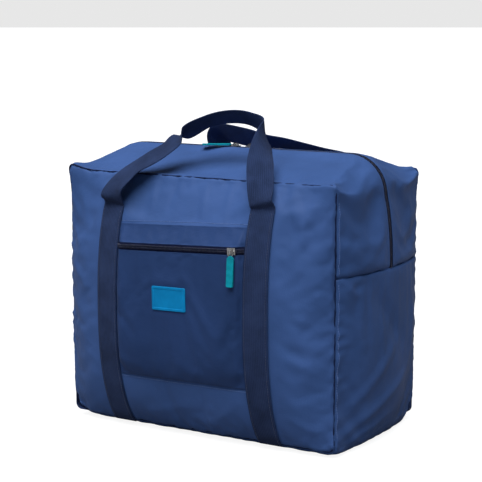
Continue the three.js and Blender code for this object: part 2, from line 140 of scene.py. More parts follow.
def gusset_outline(top, length_step):
    """Stations of a gusset from its right side seam over the middle to its left one."""
    up = 1 if top else -1
    radius = RIDGE_RADIUS if top else BASE_RADIUS
    seam_end = SEAM_TOP if top else SEAM_LOW
    ridge_end = RIDGE_TOP if top else 0.0
    seam_corner = seam_end - up * SEAM_RADIUS
    ridge_corner = ridge_end - up * radius
    ridge_side = HALF_WIDTH + side_bulge(ridge_corner)
    rows = []
    steps = max(4, round(abs(ridge_corner - SIDE_SEAM_Z) / length_step))
    for i in range(steps):
        share = i / steps
        ridge_z = SIDE_SEAM_Z + (ridge_corner - SIDE_SEAM_Z) * share
        seam_z = SIDE_SEAM_Z + (seam_corner - SIDE_SEAM_Z) * share
        rows.append((HALF_WIDTH, seam_z, HALF_WIDTH + side_bulge(ridge_z), ridge_z, 1, 0, 0))
    steps = max(8, round(radius * 1.5 / length_step))
    for i in range(steps + 1):
        share = i / steps
        c = math.cos(share * math.pi / 2)
        s = up * math.sin(share * math.pi / 2)
        seam = (HALF_WIDTH - SEAM_RADIUS * (1 - c), seam_corner + SEAM_RADIUS * s)
        ridge = (ridge_side - radius * (1 - c), ridge_corner + radius * s)
        rows.append((*seam, *ridge, c, s, share))
    steps = round((HALF_WIDTH - SEAM_RADIUS) / length_step)
    for i in range(1, steps + 1):
        share = 1 - i / steps
        seam_x = share * (HALF_WIDTH - SEAM_RADIUS)
        ridge_x = share * (ridge_side - radius)
        rows.append((seam_x, seam_end, ridge_x, ridge_end, 0, up, 1))
    rows = np.array(rows, float)
    left = rows[-2::-1] * np.array([-1, 1, -1, 1, -1, 1, 1])
    return np.concatenate([rows, left])


def on_gusset(stations, y, inset, top):
    y = np.asarray(y, float)[None, :]
    seam = stations[:, None, 0:2]
    ridge = stations[:, None, 2:4]
    out = stations[:, None, 4:6]
    crown = swell(y / HALF_DEPTH, 2, 1)
    share = np.broadcast_to(crown, (len(stations), y.shape[1]))
    if not top:
        base = 1 - (np.maximum(0, np.abs(y) - FLAT_BASE) / (HALF_DEPTH - FLAT_BASE)) ** 2
        share = crown + (base - crown) * stations[:, 6:7]
    flat = seam + (ridge - seam) * share[..., None] - inset * out
    return np.stack([flat[..., 0], np.broadcast_to(y, share.shape), flat[..., 1]], -1)


# ---- Mesh helpers -----------------------------------------------------------------------------------
def lines(low, high, step, fine=(1.2, 2.4, 4.2, 7)):
    """Grid lines with a given step, closer together (at these millimetres) at both ends."""
    edge = [value * MM for value in fine]
    count = max(2, round((high - low - 2 * edge[-1]) / step))
    middle = np.linspace(low + edge[-1], high - edge[-1], count + 1)
    ends = [low, *(low + value for value in edge[:-1])]
    return np.array([*ends, *middle, *(low + high - value for value in reversed(ends))])


def grid_faces(rows, cols):
    a = (np.arange(rows - 1)[:, None] * cols + np.arange(cols - 1)[None, :]).ravel()
    return np.stack([a, a + 1, a + cols + 1, a + cols], -1)


def new_object(name, points, faces, material):
    mesh = bpy.data.meshes.new(name)
    mesh.from_pydata([tuple(p) for p in points], [], [tuple(f) for f in faces])
    mesh.update()
    obj = bpy.data.objects.new(name, mesh)
    bpy.context.scene.collection.objects.link(obj)
    mesh.materials.append(material)
    mesh.polygons.foreach_set("use_smooth", [True] * len(mesh.polygons))
    return obj


def mesh_points(obj):
    co = np.empty(len(obj.data.vertices) * 3)
    obj.data.vertices.foreach_get("co", co)
    return co.reshape(-1, 3)


def set_points(obj, points):
    obj.data.vertices.foreach_set("co", np.ascontiguousarray(points, float).ravel())
    obj.data.update()


def mesh_normals(obj):
    out = np.empty(len(obj.data.vertices) * 3)
    obj.data.vertex_normals.foreach_get("vector", out)
    return out.reshape(-1, 3)


def apply_modifiers(obj):
    graph = bpy.context.evaluated_depsgraph_get()
    mesh = bpy.data.meshes.new_from_object(obj.evaluated_get(graph))
    old = obj.data
    obj.modifiers.clear()
    obj.data = mesh
    bpy.data.meshes.remove(old)
    obj.data.polygons.foreach_set("use_smooth", [True] * len(obj.data.polygons))


def thicken(obj, thickness):
    """Gives a sheet its thickness, inwards from the surface it has."""
    solid = obj.modifiers.new("thickness", "SOLIDIFY")
    solid.thickness = thickness
    solid.offset = -1
    apply_modifiers(obj)


def face_outwards(obj, centre=(0, 0, 0.2)):
    """Turns the sheet over if its faces look towards the middle of the bag."""
    mesh = obj.data
    score = sum(p.normal.dot(p.center - Vector(centre)) * p.area for p in mesh.polygons)
    if score < 0:
        mesh.flip_normals()


def fix_normals(obj):
    body = bmesh.new()
    body.from_mesh(obj.data)
    bmesh.ops.recalc_face_normals(body, faces=body.faces)
    body.to_mesh(obj.data)
    body.free()


def settle(obj, held, slack=0.014, pressure=1.0, frames=22, cap=7 * MM, hold=0.06):
    """Lets the sheet hang and wrinkle as slightly oversize cloth, held at the points of weight 1."""
    start = mesh_points(obj)
    group = obj.vertex_groups.new(name="held")
    for index, weight in enumerate(np.clip(held, hold, 1)):
        group.add([index], float(weight), "REPLACE")
    cloth = obj.modifiers.new("cloth", "CLOTH")
    settings = cloth.settings
    settings.quality = 6
    settings.mass = 0.12
    settings.tension_stiffness = 18
    settings.compression_stiffness = 12
    settings.shear_stiffness = 6
    settings.bending_stiffness = 0.15
    settings.tension_damping = 12
    settings.compression_damping = 12
    settings.air_damping = 6
    settings.shrink_min = -slack
    settings.use_pressure = True
    settings.uniform_pressure_force = pressure
    settings.vertex_group_mass = "held"
    settings.pin_stiffness = 1
    cloth.collision_settings.use_collision = False
    cloth.collision_settings.use_self_collision = False
    cloth.point_cache.frame_start = 1
    cloth.point_cache.frame_end = frames
    for step in range(1, frames + 1):
        bpy.context.scene.frame_set(step)
    apply_modifiers(obj)
    bpy.context.scene.frame_set(1)
    moved = mesh_points(obj) - start
    size = np.linalg.norm(moved, axis=1, keepdims=True)
    soft = cap * np.tanh(size / cap)
    set_points(obj, start + moved * soft / np.maximum(size, 1e-9))
    obj.vertex_groups.clear()


def refine(obj):
    smooth = obj.modifiers.new("fine", "SUBSURF")
    smooth.levels = 1
    smooth.render_levels = 1
    apply_modifiers(obj)


def rough(points, scale, seed, octaves=3):
    """Smooth noise from -1 to 1 at each point, whose waves are about this long."""
    offset = Vector((seed * 17.3, seed * 5.1, seed * 9.7))
    return np.array([noise.fractal(Vector(p) / scale + offset, 1.0, 2.0, octaves) for p in points])


# ---- Seams, gathers and creases ------------------------------------------------------------------
def seam_distance(x, z):
    """How far a point of a front or back panel is from its edge, round the rounded corners."""
    dx = np.abs(x) - (HALF_WIDTH - SEAM_RADIUS)
    dz = np.abs(z - MIDDLE_Z) - (HALF_SEAM - SEAM_RADIUS)
    corner = np.hypot(np.maximum(dx, 0), np.maximum(dz, 0))
    return SEAM_RADIUS - (corner + np.minimum(np.maximum(dx, dz), 0))


def pucker(points, distance, reach, height, seed):
    """Small gathers that run away from a seam and fade out over their reach."""
    wave = rough(points * np.array([1.0, 0.25, 1.0]), 11 * MM, seed, 2)
    strength = 0.55 + 0.9 * np.clip(rough(points, 90 * MM, seed + 3, 1), -0.6, 1)
    fade = np.exp(-np.maximum(distance, 0) / reach)
    return height * wave * strength * fade


def crease(points, start, end, width, height, axis):
    """A fold along a line between two points of the sheet, seen along an axis."""
    keep = [k for k in range(3) if k != axis]
    p = points[:, keep]
    a = np.array(start) * MM
    b = np.array(end) * MM
    along = b - a
    share = np.clip(((p - a) @ along) / (along @ along), 0, 1)
    away = np.linalg.norm(p - a - share[:, None] * along, axis=1) / (width * MM)
    return height * MM * np.exp(-away ** 2) * np.sin(np.clip(share * 0.96 + 0.02, 0, 1) * math.pi) ** 0.6


# Each corner that the stuffing drives out, or lifts off the floor: its place, its move and its reach.
CORNERS = [
    ((-230, -127, 388), (-4, -3, 9), 24),
    ((230, -127, 388), (2, -2, 3), 20),
    ((230, 127, 388), (3, 2, 4), 24),
    ((-230, 127, 388), (-3, 2, 5), 24),
    ((-230, -127, 8), (7, 3, 6), 24),
    ((-230, 127, 8), (6, -3, 5), 24),
    ((230, 127, 8), (-4, -3, 4), 24),
]


def drive_corners(points):
    points = np.array(points, float)
    moved = points.copy()
    for corner, move, reach in CORNERS:
        away = np.linalg.norm(points - np.array(corner) * MM, axis=1) / (reach * MM)
        moved += np.exp(-(away ** 2))[:, None] * np.array(move) * MM
    return moved


def push(obj, amount):
    """Moves each point along its normal."""
    set_points(obj, mesh_points(obj) + mesh_normals(obj) * np.asarray(amount)[:, None])


# ---- Materials ----------------------------------------------------------------------------------------
class Paint:
    """A small helper that builds one material's node tree."""

    def __init__(self, name, color, roughness, **shader):
        self.material = bpy.data.materials.new(name)
        self.material.use_nodes = True
        self.tree = self.material.node_tree
        self.shader = self.tree.nodes["Principled BSDF"]
        self.shader.inputs["Base Color"].default_value = (*color, 1)
        self.shader.inputs["Roughness"].default_value = roughness
        for key, value in shader.items():
            self.shader.inputs[key.replace("_", " ")].default_value = value

    def node(self, kind, inputs=(), **settings):
        made = self.tree.nodes.new(kind)
        for key, value in settings.items():
            setattr(made, key, value)
        for key, value in dict(inputs).items():
            if isinstance(value, bpy.types.NodeSocket):
                self.tree.links.new(value, made.inputs[key])
            else:
                made.inputs[key].default_value = value
        return made

    def math(self, operation, a, b=0.0):
        return self.node("ShaderNodeMath", {0: a, 1: b}, operation=operation).outputs[0]

    def object_axes(self):
        place = self.node("ShaderNodeTexCoord").outputs["Object"]
        return place, self.node("ShaderNodeSeparateXYZ", {0: place}).outputs

    def noise(self, place, scale, detail=3.0, roughness=0.5):
        inputs = {"Vector": place, "Scale": scale, "Detail": detail, "Roughness": roughness}
        return self.node("ShaderNodeTexNoise", inputs).outputs["Fac"]

    def ramp(self, value, stops):
        made = self.node("ShaderNodeValToRGB", {"Fac": value})
        elements = made.color_ramp.elements
        while len(elements) < len(stops):
            elements.new(0.5)
        for element, (position, color) in zip(elements, stops):
            element.position = position
            element.color = (*color, 1)
        return made.outputs["Color"]

    def bump(self, height, strength, distance, normal=None):
        inputs = {"Height": height, "Strength": strength, "Distance": distance}
        if normal is not None:
            inputs["Normal"] = normal
        return self.node("ShaderNodeBump", inputs).outputs["Normal"]

    def link(self, output, key):
        self.tree.links.new(output, self.shader.inputs[key])


def threads(paint, axes, pitch):
    """A plain weave: waves along all three axes, of which each face shows two."""
    total = 0.0
    for axis in axes:
        turns = paint.math("MULTIPLY", axis, 2 * math.pi / pitch)
        total = paint.math("ADD", paint.math("SINE", turns), total)
    return total


def nylon_material(name, dark, light):
    paint = Paint(name, light, 0.5, Sheen_Weight=0.02, Sheen_Roughness=0.4, Specular_IOR_Level=0.1)
    place, axes = paint.object_axes()
    cloud = paint.noise(place, 9.0, 4.0, 0.55)
    paint.link(paint.ramp(cloud, [(0.3, dark), (0.7, light)]), "Base Color")
    weave = paint.bump(threads(paint, axes, 0.9 * MM), 0.22, 0.12 * MM)
    slub = paint.bump(paint.noise(place, 160.0, 5.0, 0.6), 0.25, 0.9 * MM, weave)
    crush = paint.bump(paint.noise(place, 26.0, 4.0, 0.55), 0.2, 4 * MM, slub)
    paint.link(crush, "Normal")
    return paint.material


def webbing_material(name, dark, light):
    """Ribs along the band and a finer twill across them, from the band's own UV map in metres."""
    paint = Paint(name, light, 0.82, Sheen_Weight=0.03, Sheen_Roughness=0.5, Specular_IOR_Level=0.08)
    place, _ = paint.object_axes()
    uv = paint.node("ShaderNodeTexCoord").outputs["UV"]
    across, along, _ = paint.node("ShaderNodeSeparateXYZ", {0: uv}).outputs
    ribs = paint.math("SINE", paint.math("MULTIPLY", across, 2 * math.pi / (2.7 * MM)))
    slant = paint.math("ADD", along, paint.math("MULTIPLY", paint.math("ABSOLUTE", ribs), 0.8 * MM))
    picks = paint.math("SINE", paint.math("MULTIPLY", slant, 2 * math.pi / (1.5 * MM)))
    cloth = paint.math("ADD", ribs, paint.math("MULTIPLY", picks, 0.8))
    shade = paint.math("ADD", paint.math("MULTIPLY", cloth, 0.14), paint.noise(place, 30.0, 4.0, 0.6))
    paint.link(paint.ramp(shade, [(0.25, dark), (0.8, light)]), "Base Color")
    paint.link(paint.bump(cloth, 0.55, 0.35 * MM), "Normal")
    return paint.material


def tape_material(name, color):
    paint = Paint(name, color, 0.8, Specular_IOR_Level=0.1)
    place, axes = paint.object_axes()
    knit = threads(paint, axes, 1.1 * MM)
    shade = paint.math("ADD", paint.math("MULTIPLY", knit, 0.06), paint.noise(place, 60.0))
    light = tuple(min(1, 1.9 * c) for c in color)
    paint.link(paint.ramp(shade, [(0.3, color), (0.75, light)]), "Base Color")
    paint.link(paint.bump(knit, 0.4, 0.25 * MM), "Normal")
    return paint.material


def coil_material():
    paint = Paint("coil_nylon", (0.012, 0.017, 0.05), 0.38, Specular_IOR_Level=0.5)
    place, _ = paint.object_axes()
    worn = paint.noise(place, 220.0, 3.0)
    paint.link(paint.ramp(worn, [(0.35, (0.009, 0.012, 0.038)), (0.8, (0.03, 0.04, 0.09))]), "Base Color")
    return paint.material


def nickel_material():
    paint = Paint("nickel_plate", (0.72, 0.71, 0.69), 0.24, Metallic=1.0)
    place, _ = paint.object_axes()
    smudge = paint.noise(place, 420.0, 4.0)
    paint.link(paint.ramp(smudge, [(0.3, (0.62, 0.61, 0.6)), (0.7, (0.82, 0.81, 0.79))]), "Base Color")
    paint.link(paint.bump(paint.noise(place, 900.0, 2.0), 0.1, 0.2 * MM), "Normal")
    return paint.material


def rubber_material():
    paint = Paint("label_rubber", (0.002, 0.125, 0.33), 0.5, Specular_IOR_Level=0.12)
    place, _ = paint.object_axes()
    cloud = paint.noise(place, 60.0, 3.0)
    paint.link(paint.ramp(cloud, [(0.3, (0.001, 0.19, 0.45)), (0.75, (0.002, 0.25, 0.56))]), "Base Color")
    paint.link(paint.bump(paint.noise(place, 700.0, 2.0), 0.18, 0.3 * MM), "Normal")
    return paint.material


def ribbon_material():
    paint = Paint("puller_ribbon", (0.004, 0.16, 0.29), 0.6, Specular_IOR_Level=0.1)
    place, axes = paint.object_axes()
    weave = threads(paint, axes, 1.3 * MM)
    shade = paint.math("ADD", paint.math("MULTIPLY", weave, 0.07), paint.noise(place, 90.0))
    paint.link(paint.ramp(shade, [(0.3, (0.001, 0.24, 0.32)), (0.7, (0.002, 0.33, 0.43))]), "Base Color")
    paint.link(paint.bump(weave, 0.5, 0.3 * MM), "Normal")
    return paint.material


def thread_material(name, color):
    paint = Paint(name, color, 0.55, Sheen_Weight=0.2)
    place, _ = paint.object_axes()
    light = tuple(min(1, 1.5 * c) for c in color)
    paint.link(paint.ramp(paint.noise(place, 300.0, 2.0), [(0.3, color), (0.7, light)]), "Base Color")
    return paint.material


NYLON = nylon_material("nylon", (0.035, 0.08, 0.225), (0.05, 0.108, 0.3))
# The pocket and the band above its zip get darker copies of the nylon, the pocket darkest: painted shade of
# the middle and lower front.
POCKET_NYLON_SHADED = nylon_material("pocket_nylon_painted_shade", (0.017, 0.041, 0.123), (0.024, 0.055, 0.165))
BAND_NYLON_SHADED = nylon_material("pocket_band_nylon_painted_shade", (0.02, 0.048, 0.145), (0.028, 0.064, 0.192))
WEB = webbing_material("navy_webbing", (0.013, 0.024, 0.066), (0.031, 0.055, 0.145))
TAPE = tape_material("zip_tape", (0.007, 0.01, 0.034))
BINDING = tape_material("seam_tape", (0.016, 0.028, 0.08))
# Near black: painted shade of the seam groove, put on the turned-in seam edge that lies in it.
SEAM_EDGE_PAINTED_SHADE = tape_material("seam_edge_painted_shade", (0.006, 0.011, 0.04))
COIL = coil_material()
NICKEL = nickel_material()
RUBBER = rubber_material()
RIBBON = ribbon_material()
THREAD = thread_material("navy_thread", (0.02, 0.036, 0.1))
BLUE_THREAD = thread_material("blue_thread", (0.08, 0.15, 0.36))


# ---- Camera, light and floor -------------------------------------------------------------------------
FOCAL_LENGTH = 111.8
CAMERA_PLACE = (1.1861, -1.924, 0.6269)
CAMERA_PITCH = 8.82
CAMERA_TURN = 31.74
SKY_COLOR = (0.86, 0.92, 1, 1)
SKY_STRENGTH = 0.12
FLOOR_GLOW = 0.9
FLOOR_REACH = 60
# Each sun: its name, the way to it, its strength and how wide it is in degrees.
SUNS = [
    ("overhead", (0.15, -0.85, 1.95), 4.1, 56),
    ("front_right", (0.3, -2.0, 0.5), 0.12, 70),
]


def stage():
    """The camera, a white floor, a pale grey backdrop above its horizon, and the suns."""
    camera = bpy.data.objects.new("camera", bpy.data.cameras.new("camera"))
    camera.data.lens = FOCAL_LENGTH
    camera.data.sensor_width = 36
    camera.data.clip_end = 50
    camera.location = CAMERA_PLACE
    camera.rotation_euler = (math.radians(90 - CAMERA_PITCH), 0, math.radians(CAMERA_TURN))
    bpy.context.scene.collection.objects.link(camera)
    bpy.context.scene.camera = camera

    # The floor is white to look at, but it and the sky light the bag only dimly, so that its folds keep
    # their shade.
    floor = Paint("pale_floor", (0.22, 0.22, 0.23), 0.9, Specular_IOR_Level=0.0, Emission_Color=(1, 1, 1, 1))
    seen = floor.node("ShaderNodeLightPath").outputs["Is Camera Ray"]
    floor.link(floor.math("MULTIPLY", seen, FLOOR_GLOW), "Emission Strength")
    corners = [(x * FLOOR_REACH, y * FLOOR_REACH, 0) for x, y in ((-1, -1), (1, -1), (1, 1), (-1, 1))]
    ground = new_object("floor", corners, [(0, 1, 2, 3)], floor.material)
    ground.location.z = -0.4 * MM

    world = bpy.data.worlds.new("studio")
    world.use_nodes = True
    tree = world.node_tree
    dim = tree.nodes["Background"]
    dim.inputs["Color"].default_value = SKY_COLOR
    dim.inputs["Strength"].default_value = SKY_STRENGTH
    backdrop = tree.nodes.new("ShaderNodeBackground")
    backdrop.inputs["Strength"].default_value = 1.0
    seen = tree.nodes.new("ShaderNodeLightPath")
    mix = tree.nodes.new("ShaderNodeMixShader")
    tree.links.new(seen.outputs["Is Camera Ray"], mix.inputs[0])
    tree.links.new(dim.outputs[0], mix.inputs[1])
    tree.links.new(backdrop.outputs[0], mix.inputs[2])
    tree.links.new(mix.outputs[0], tree.nodes["World Output"].inputs[0])
    bpy.context.scene.world = world

    for name, place, strength, angle in SUNS:
        light = bpy.data.objects.new(name, bpy.data.lights.new(name, "SUN"))
        light.data.energy = strength
        light.data.angle = math.radians(angle)
        light.rotation_euler = Vector(place).to_track_quat("Z", "Y").to_euler()
        bpy.context.scene.collection.objects.link(light)
    bpy.context.scene.view_settings.view_transform = "Standard"


# ---- Front and back panels ---------------------------------------------------------------------------
SEAM_DIP = 2.6 * MM
GATHER_REACH = 26 * MM


def round_corner(x, z):
    """Moves grid points near a panel's square corner in onto its rounded outline."""
    u = np.abs(x) - (HALF_WIDTH - SEAM_RADIUS)
    v = np.abs(z - MIDDLE_Z) - (HALF_SEAM - SEAM_RADIUS)
    both = (u > 0) & (v > 0)
    longest = np.maximum(u, v)
    scale = np.where(both, longest / np.maximum(np.hypot(u, v), 1e-9), 1)
    new_x = np.where(both, np.sign(x) * (HALF_WIDTH - SEAM_RADIUS + u * scale), x)
    new_z = np.where(both, MIDDLE_Z + np.sign(z - MIDDLE_Z) * (HALF_SEAM - SEAM_RADIUS + v * scale), z)
    return new_x, new_z


def panel(name, side, seed, creases):
    xs = lines(-HALF_WIDTH, HALF_WIDTH, 8 * MM)
    zs = lines(SEAM_LOW, SEAM_TOP, 8 * MM)
    z, x = np.meshgrid(zs, xs, indexing="ij")
    x, z = round_corner(x.ravel(), z.ravel())
    points = on_panel(x, z, FABRIC, side)
    obj = new_object(name, points, grid_faces(len(zs), len(xs)), NYLON)
    face_outwards(obj)
    edge = seam_distance(x, z)
    under_strap = (np.abs(np.abs(x) - STRAP_X) < WEBBING_WIDTH / 2 + 5 * MM) & (z < STRAP_TOP_Z + 8 * MM)
    beside_pocket = (z > POCKET_BOTTOM - 4 * MM) & (z < POCKET_TOP + 4 * MM)
    under_pocket = (side < 0) & (np.abs(x) < STRAP_X) & beside_pocket
    held = np.where((edge < 1 * MM) | under_strap | under_pocket, 1.0, 0.0)
    settle(obj, held)
    refine(obj)
    finish_panel(obj, side, seed, creases)
    return obj


def finish_panel(obj, side, seed, creases):
    points = mesh_points(obj)
    x = points[:, 0]
    z = points[:, 2] - (skewed(x, points[:, 2]) if side < 0 else 0)
    edge = np.maximum(seam_distance(x, z), 0)
    strap = np.abs(np.abs(x) - STRAP_X) - WEBBING_WIDTH / 2
    strap = np.where(z < STRAP_TOP_Z + 4 * MM, strap, 30 * MM)
    pocket = np.maximum(np.abs(x) - STRAP_X, np.maximum(POCKET_BOTTOM - z, z - POCKET_TOP))
    pocket = pocket if side < 0 else np.full_like(x, 30 * MM)
    free = ease(np.minimum(strap, pocket), 9 * MM)
    gathers = pucker(points, edge, GATHER_REACH, 3.2 * MM, seed)
    top_gathers = pucker(points * np.array([1, 1, 0.12]), SEAM_TOP - z, 60 * MM, 2.2 * MM, seed + 7)
    folds = sum(crease(points, *fold, axis=1) for fold in creases)
    amount = (gathers + top_gathers + folds + 0.6 * MM * rough(points, 55 * MM, seed + 1)) * free
    amount -= SEAM_DIP * np.exp(-((edge / (2.6 * MM)) ** 2))
    push(obj, amount)
    set_points(obj, drive_corners(mesh_points(obj)))
    thicken(obj, 0.9 * MM)


# Folds of each panel: start and end as (x, z), width and height, in millimetres.
FRONT_FOLDS = [
    ((168, 372), (196, 300), 7, 2.2),
    ((205, 366), (186, 322), 5, 1.8),
    ((212, 340), (170, 262), 8, -1.6),
    ((216, 190), (176, 205), 6, 1.5),
    ((216, 120), (168, 150), 7, 1.4),
    ((160, 60), (214, 34), 6, 1.3),
    ((-206, 360), (-178, 300), 7, 1.8),
    ((-214, 250), (-170, 210), 8, 1.6),
    ((-70, 380), (-62, 332), 5, 1.6),
    ((-28, 382), (-34, 336), 4, -1.4),
    ((20, 380), (28, 330), 5, 1.7),
    ((66, 380), (60, 338), 4, 1.3),
    ((-80, 30), (20, 60), 8, 1.2),
    ((30, 26), (90, 66), 7, 1.2),
]
BACK_FOLDS = [
    ((-60, 360), (-30, 250), 9, 2.2),
    ((70, 350), (20, 230), 9, -1.8),
    ((-90, 60), (30, 120), 10, 2),
    ((180, 340), (200, 240), 8, 2),
    ((-190, 330), (-200, 220), 8, 1.6),
]


# ---- Gussets -----------------------------------------------------------------------------------------
def gusset(name, nodes, top, y_low, y_high, seed, folds):
    stations = gusset_outline(top, 8 * MM)
    ys = lines(y_low, y_high, 8 * MM)
    points = on_gusset(stations, ys, 0, top)
    rows, cols = points.shape[:2]
    obj = new_object(name, points.reshape(-1, 3), grid_faces(rows, cols), NYLON)
    face_outwards(obj)
    y = points[..., 1].ravel()
    row = np.repeat(np.arange(rows), cols)
    on_end = (row == 0) | (row == rows - 1)
    on_seam = HALF_DEPTH - np.abs(y) < 1 * MM
    on_zip = np.abs(y) < ZIP_TAPE + 2 * MM if top else np.zeros(len(y), bool)
    on_floor = (not top) & (points[..., 2].ravel() < 1 * MM)
    held = np.where(on_end | on_seam | on_zip | on_floor, 1.0, 0.0)
    settle(obj, held, slack=0.016)
    refine(obj)
    points = mesh_points(obj)
    seam = np.maximum(HALF_DEPTH - np.abs(points[:, 1]), 0)
    side_seam = np.abs(points[:, 2] - SIDE_SEAM_Z) + np.where(np.abs(points[:, 0]) > 0.8 * HALF_WIDTH, 0, 1)
    zip_edge = np.maximum(np.abs(points[:, 1]) - ZIP_TAPE, 0) if top else np.full(len(points), 1.0)
    clear = ease(zip_edge, 14 * MM) if top else 1.0
    gathers = pucker(points, seam, GATHER_REACH, 3 * MM, seed) * ease(seam + 1 * MM, 6 * MM)
    gathers += pucker(points * np.array([1, 1, 0.3]), side_seam, 18 * MM, 2 * MM, seed + 5) * clear
    standing = ease(points[:, 2], 10 * MM)
    broad = 1.1 * MM * rough(points, 60 * MM, seed + 1) * ease(seam, 12 * MM) * clear
    fold = sum(crease(points, *f, axis=0) * (np.sign(points[:, 0]) == hand) for hand, f in folds)
    amount = (gathers + broad + fold) * standing
    amount -= SEAM_DIP * np.exp(-((seam / (2.6 * MM)) ** 2)) * standing
    amount -= 1.4 * MM * np.exp(-((side_seam / (2.2 * MM)) ** 2))
    push(obj, amount)
    points = drive_corners(mesh_points(obj))
    points[:, 2] = np.maximum(points[:, 2], 0)
    set_points(obj, points)
    thicken(obj, 0.9 * MM)
    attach(obj, "bag")
    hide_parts(*nodes)
    return obj


# Folds of the sides: which side, then start and end as (y, z), width and height, in millimetres.
SIDE_FOLDS = [
    (1, ((-118, 26), (60, 92), 9, 3.6)),
    (1, ((-116, 14), (20, 40), 7, 2.4)),
    (1, ((-50, 232), (30, 150), 17, -4.2)),
    (1, ((-104, 60), (20, 150), 10, 3)),
    (1, ((-112, 246), (-84, 228), 5, 2.2)),
    (1, ((-104, 236), (-70, 246), 5, -1.8)),
    (1, ((96, 220), (70, 90), 10, 2)),
    (-1, ((-110, 30), (50, 80), 9, 3)),
    (-1, ((-70, 220), (60, 170), 13, -2.6)),
    (-1, ((100, 210), (60, 100), 10, 2)),
]


# ---- Straps and handles ------------------------------------------------------------------------------
def strap_route(sign, side):
    """Centre line of a sewn leg from the bottom seam up, with the way its outer face looks."""
    route = []
    for z in np.linspace(SEAM_LOW, STRAP_TOP_Z, 30):
        a = on_panel(sign * STRAP_X, z, FABRIC + WEBBING, side)
        low = on_panel(sign * STRAP_X, z - 2 * MM, FABRIC, side)
        high = on_panel(sign * STRAP_X, z + 2 * MM, FABRIC, side)
        left = on_panel(sign * STRAP_X - 10 * MM, z, FABRIC, side)
        right = on_panel(sign * STRAP_X + 10 * MM, z, FABRIC, side)
        out = np.cross(right - left, high - low)
        out *= np.sign(out[1]) * side / np.linalg.norm(out)
        route.append((a, out))
    return route


# Each arch: points of its centre line in millimetres, and the way its outer face looks there.
FRONT_ARCH = [
    ((-127, -163, 351), (-0.05, -0.8, -0.7)),
    ((-122, -163, 368), (-0.3, -0.9, 0.3)),
    ((-110, -152, 385), (-0.24, -0.75, 0.62)),
    ((-98, -142, 397), (-0.22, -0.6, 0.78)),
    ((-78, -129, 411), (-0.14, -0.61, 0.78)),
    ((-60, -118, 424), (-0.22, -0.61, 0.76)),
    ((-47, -107, 439), (-0.26, -0.6, 0.76)),
    ((-39, -100, 446), (-0.65, 0.2, 0.73)),
    ((-10, -82, 464), (-0.45, 0.33, 0.83)),
    ((14, -74, 470), (-0.2, 0.48, 0.85)),
    ((42, -71, 471), (0.1, 0.6, 0.8)),
    ((66, -74, 466), (0.38, 0.69, 0.62)),
    ((84, -80, 457), (0.67, 0.7, 0.2)),
    ((93, -94, 445), (0.9, 0.2, 0.4)),
    ((101, -114, 429), (0.76, -0.14, 0.64)),
    ((112, -137, 405), (0.38, -0.64, 0.67)),
    ((121, -151, 380), (0.22, -0.89, 0.4)),
    ((127, -160, 360), (0.05, -1, -0.3)),
]
REAR_ARCH = [
    ((-129, 154, 368), (-0.1, 1, 0.3)),
    ((-134, 151, 390), (-0.5, 0.85, 0.2)),
    ((-134, 142, 411), (-0.8, 0.6, 0.3)),
    ((-128, 131, 424), (-0.4, 0.7, 0.6)),
    ((-114, 121, 429), (0.2, 0.78, 0.58)),
    ((-94, 110, 429), (0.3, 0.78, 0.54)),
    ((-70, 103, 427), (0.19, 0.82, 0.54)),
    ((-43, 99, 424), (0.1, 0.81, 0.58)),
    ((-11, 98, 421), (0.05, 0.62, 0.78)),
    ((20, 98, 419), (0, 0.54, 0.84)),
    ((53, 103, 414), (0.05, 0.45, 0.89)),
    ((80, 112, 409), (0.13, 0.4, 0.91)),
    ((104, 128, 401), (0.2, 0.6, 0.77)),
    ((121, 147, 386), (0.1, 0.9, 0.45)),
    ((126, 152, 368), (0.02, 1, 0.35)),
]


def smooth_route(route, step):
    """Points every step along a centripetal Catmull-Rom curve through the route, with their faces."""
    keys = np.array([np.concatenate([p, f]) for p, f in route])
    keys = np.concatenate([2 * keys[:1] - keys[1:2], keys, 2 * keys[-1:] - keys[-2:-1]])
    knots = np.concatenate([[0], np.cumsum(np.linalg.norm(np.diff(keys[:, :3], axis=0), axis=1) ** 0.5)])
    out = []
    for i in range(1, len(keys) - 2):
        t0, t1, t2, t3 = knots[i - 1:i + 3]
        count = max(1, round(np.linalg.norm(keys[i + 1, :3] - keys[i, :3]) / step))
        for t in np.linspace(t1, t2, count, endpoint=False):
            a1 = (t1 - t) / (t1 - t0) * keys[i - 1] + (t - t0) / (t1 - t0) * keys[i]
            a2 = (t2 - t) / (t2 - t1) * keys[i] + (t - t1) / (t2 - t1) * keys[i + 1]
            a3 = (t3 - t) / (t3 - t2) * keys[i + 1] + (t - t2) / (t3 - t2) * keys[i + 2]
            b1 = (t2 - t) / (t2 - t0) * a1 + (t - t0) / (t2 - t0) * a2
            b2 = (t3 - t) / (t3 - t1) * a2 + (t - t1) / (t3 - t1) * a3
            out.append((t2 - t) / (t2 - t1) * b1 + (t - t1) / (t2 - t1) * b2)
    out.append(keys[-2])
    out = np.array(out)
    return out[:, :3], out[:, 3:] / np.linalg.norm(out[:, 3:], axis=1, keepdims=True)


